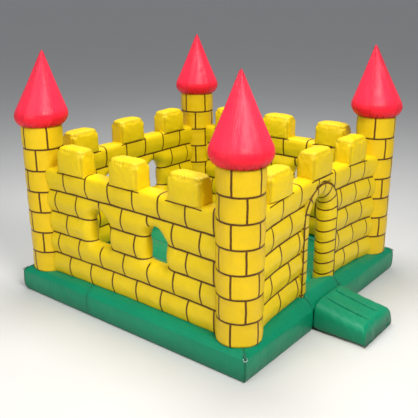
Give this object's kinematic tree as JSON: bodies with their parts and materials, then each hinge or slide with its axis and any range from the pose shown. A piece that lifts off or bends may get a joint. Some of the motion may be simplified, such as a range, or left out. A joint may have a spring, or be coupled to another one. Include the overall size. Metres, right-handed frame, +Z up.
{
  "type": "inflatable bounce house",
  "caption": "Square inflatable castle with brick-pattern walls, corner towers with cone roofs, merlons, arched windows and doorway, a padded bounce floor and an entrance ramp.",
  "frame": {"origin": "on the ground under the centre of the square base", "axes": "+Z up, -Y out of the doorway and down the ramp, +X to the right seen from in front of the doorway"},
  "size_m": [5.1012, 6.7506, 4.3446],
  "materials": {
    "green_pvc_cloth": "semi-gloss coated cloth",
    "yellow_pvc_cloth": "semi-gloss coated cloth with printed brick lines",
    "red_pvc_cloth": "semi-gloss coated cloth",
    "baffle_cloth": "matt coated cloth",
    "green_webbing": "woven webbing",
    "black_zip_tape": "woven tape with coils",
    "zinc_steel": "zinc plated"
  },
  "bodies": {
    "castle": {"bounce_floor": "green_pvc_cloth", "floor_baffle_1": "baffle_cloth", "floor_baffle_2": "baffle_cloth", "floor_baffle_3": "baffle_cloth", "floor_baffle_4": "baffle_cloth", "floor_baffle_5": "baffle_cloth", "base_left": "green_pvc_cloth", "base_right": "green_pvc_cloth", "base_back": "green_pvc_cloth", "base_front_left": "green_pvc_cloth", "base_front_right": "green_pvc_cloth", "door_sill": "green_pvc_cloth", "entrance_ramp": "green_pvc_cloth", "tower_front_left": "yellow_pvc_cloth", "roof_front_left": "red_pvc_cloth", "tower_front_right": "yellow_pvc_cloth", "roof_front_right": "red_pvc_cloth", "tower_back_left": "yellow_pvc_cloth", "roof_back_left": "red_pvc_cloth", "tower_back_right": "yellow_pvc_cloth", "roof_back_right": "red_pvc_cloth", "wall_left": "yellow_pvc_cloth", "wall_right": "yellow_pvc_cloth", "wall_back": "yellow_pvc_cloth", "wall_front": "yellow_pvc_cloth", "door_arch": "yellow_pvc_cloth", "merlon_left_1": "yellow_pvc_cloth", "merlon_left_2": "yellow_pvc_cloth", "merlon_left_3": "yellow_pvc_cloth", "merlon_right_1": "yellow_pvc_cloth", "merlon_right_2": "yellow_pvc_cloth", "merlon_right_3": "yellow_pvc_cloth", "merlon_back_1": "yellow_pvc_cloth", "merlon_back_2": "yellow_pvc_cloth", "merlon_back_3": "yellow_pvc_cloth", "merlon_front_1": "yellow_pvc_cloth", "merlon_front_2": "yellow_pvc_cloth", "merlon_front_3": "yellow_pvc_cloth", "anchor_tab_front_left": "green_webbing", "anchor_tab_front_right": "green_webbing", "anchor_tab_back_left": "green_webbing", "anchor_tab_back_right": "green_webbing", "anchor_tab_right": "green_webbing", "anchor_tab_back": "green_webbing", "blower_sleeve": "green_pvc_cloth", "sleeve_strap": "green_webbing", "deflation_zip": "black_zip_tape"},
    "ring_front_left": {"anchor_ring_front_left": "zinc_steel"},
    "ring_front_right": {"anchor_ring_front_right": "zinc_steel"},
    "ring_back_left": {"anchor_ring_back_left": "zinc_steel"},
    "ring_back_right": {"anchor_ring_back_right": "zinc_steel"},
    "ring_right": {"anchor_ring_right": "zinc_steel"},
    "ring_back": {"anchor_ring_back": "zinc_steel"},
    "slider": {"zip_slider": "zinc_steel"}
  },
  "joints": [
    {"name": "ring_front_left_swing", "type": "hinge", "parent": "castle", "child": "ring_front_left", "pos_m": [-2.50156, -2.50156, 0.40675], "axis": [-0.7071, 0.7071, 0], "range_deg": [0, 165]},
    {"name": "ring_front_right_swing", "type": "hinge", "parent": "castle", "child": "ring_front_right", "pos_m": [2.50156, -2.50156, 0.40675], "axis": [-0.7071, -0.7071, 0], "range_deg": [0, 165]},
    {"name": "ring_back_left_swing", "type": "hinge", "parent": "castle", "child": "ring_back_left", "pos_m": [-2.50156, 2.50156, 0.40675], "axis": [0.7071, 0.7071, 0], "range_deg": [0, 165]},
    {"name": "ring_back_right_swing", "type": "hinge", "parent": "castle", "child": "ring_back_right", "pos_m": [2.50156, 2.50156, 0.40675], "axis": [0.7071, -0.7071, 0], "range_deg": [0, 165]},
    {"name": "ring_right_swing", "type": "hinge", "parent": "castle", "child": "ring_right", "pos_m": [2.5027, 0, 0.40798], "axis": [0, -1, 0], "range_deg": [0, 165]},
    {"name": "ring_back_swing", "type": "hinge", "parent": "castle", "child": "ring_back", "pos_m": [0, 2.5027, 0.40798], "axis": [1, 0, 0], "range_deg": [0, 165]},
    {"name": "zip_slide", "type": "slide", "parent": "castle", "child": "slider", "axis": [1, 0, 0], "range_m": [0, 0.55]}
  ]
}
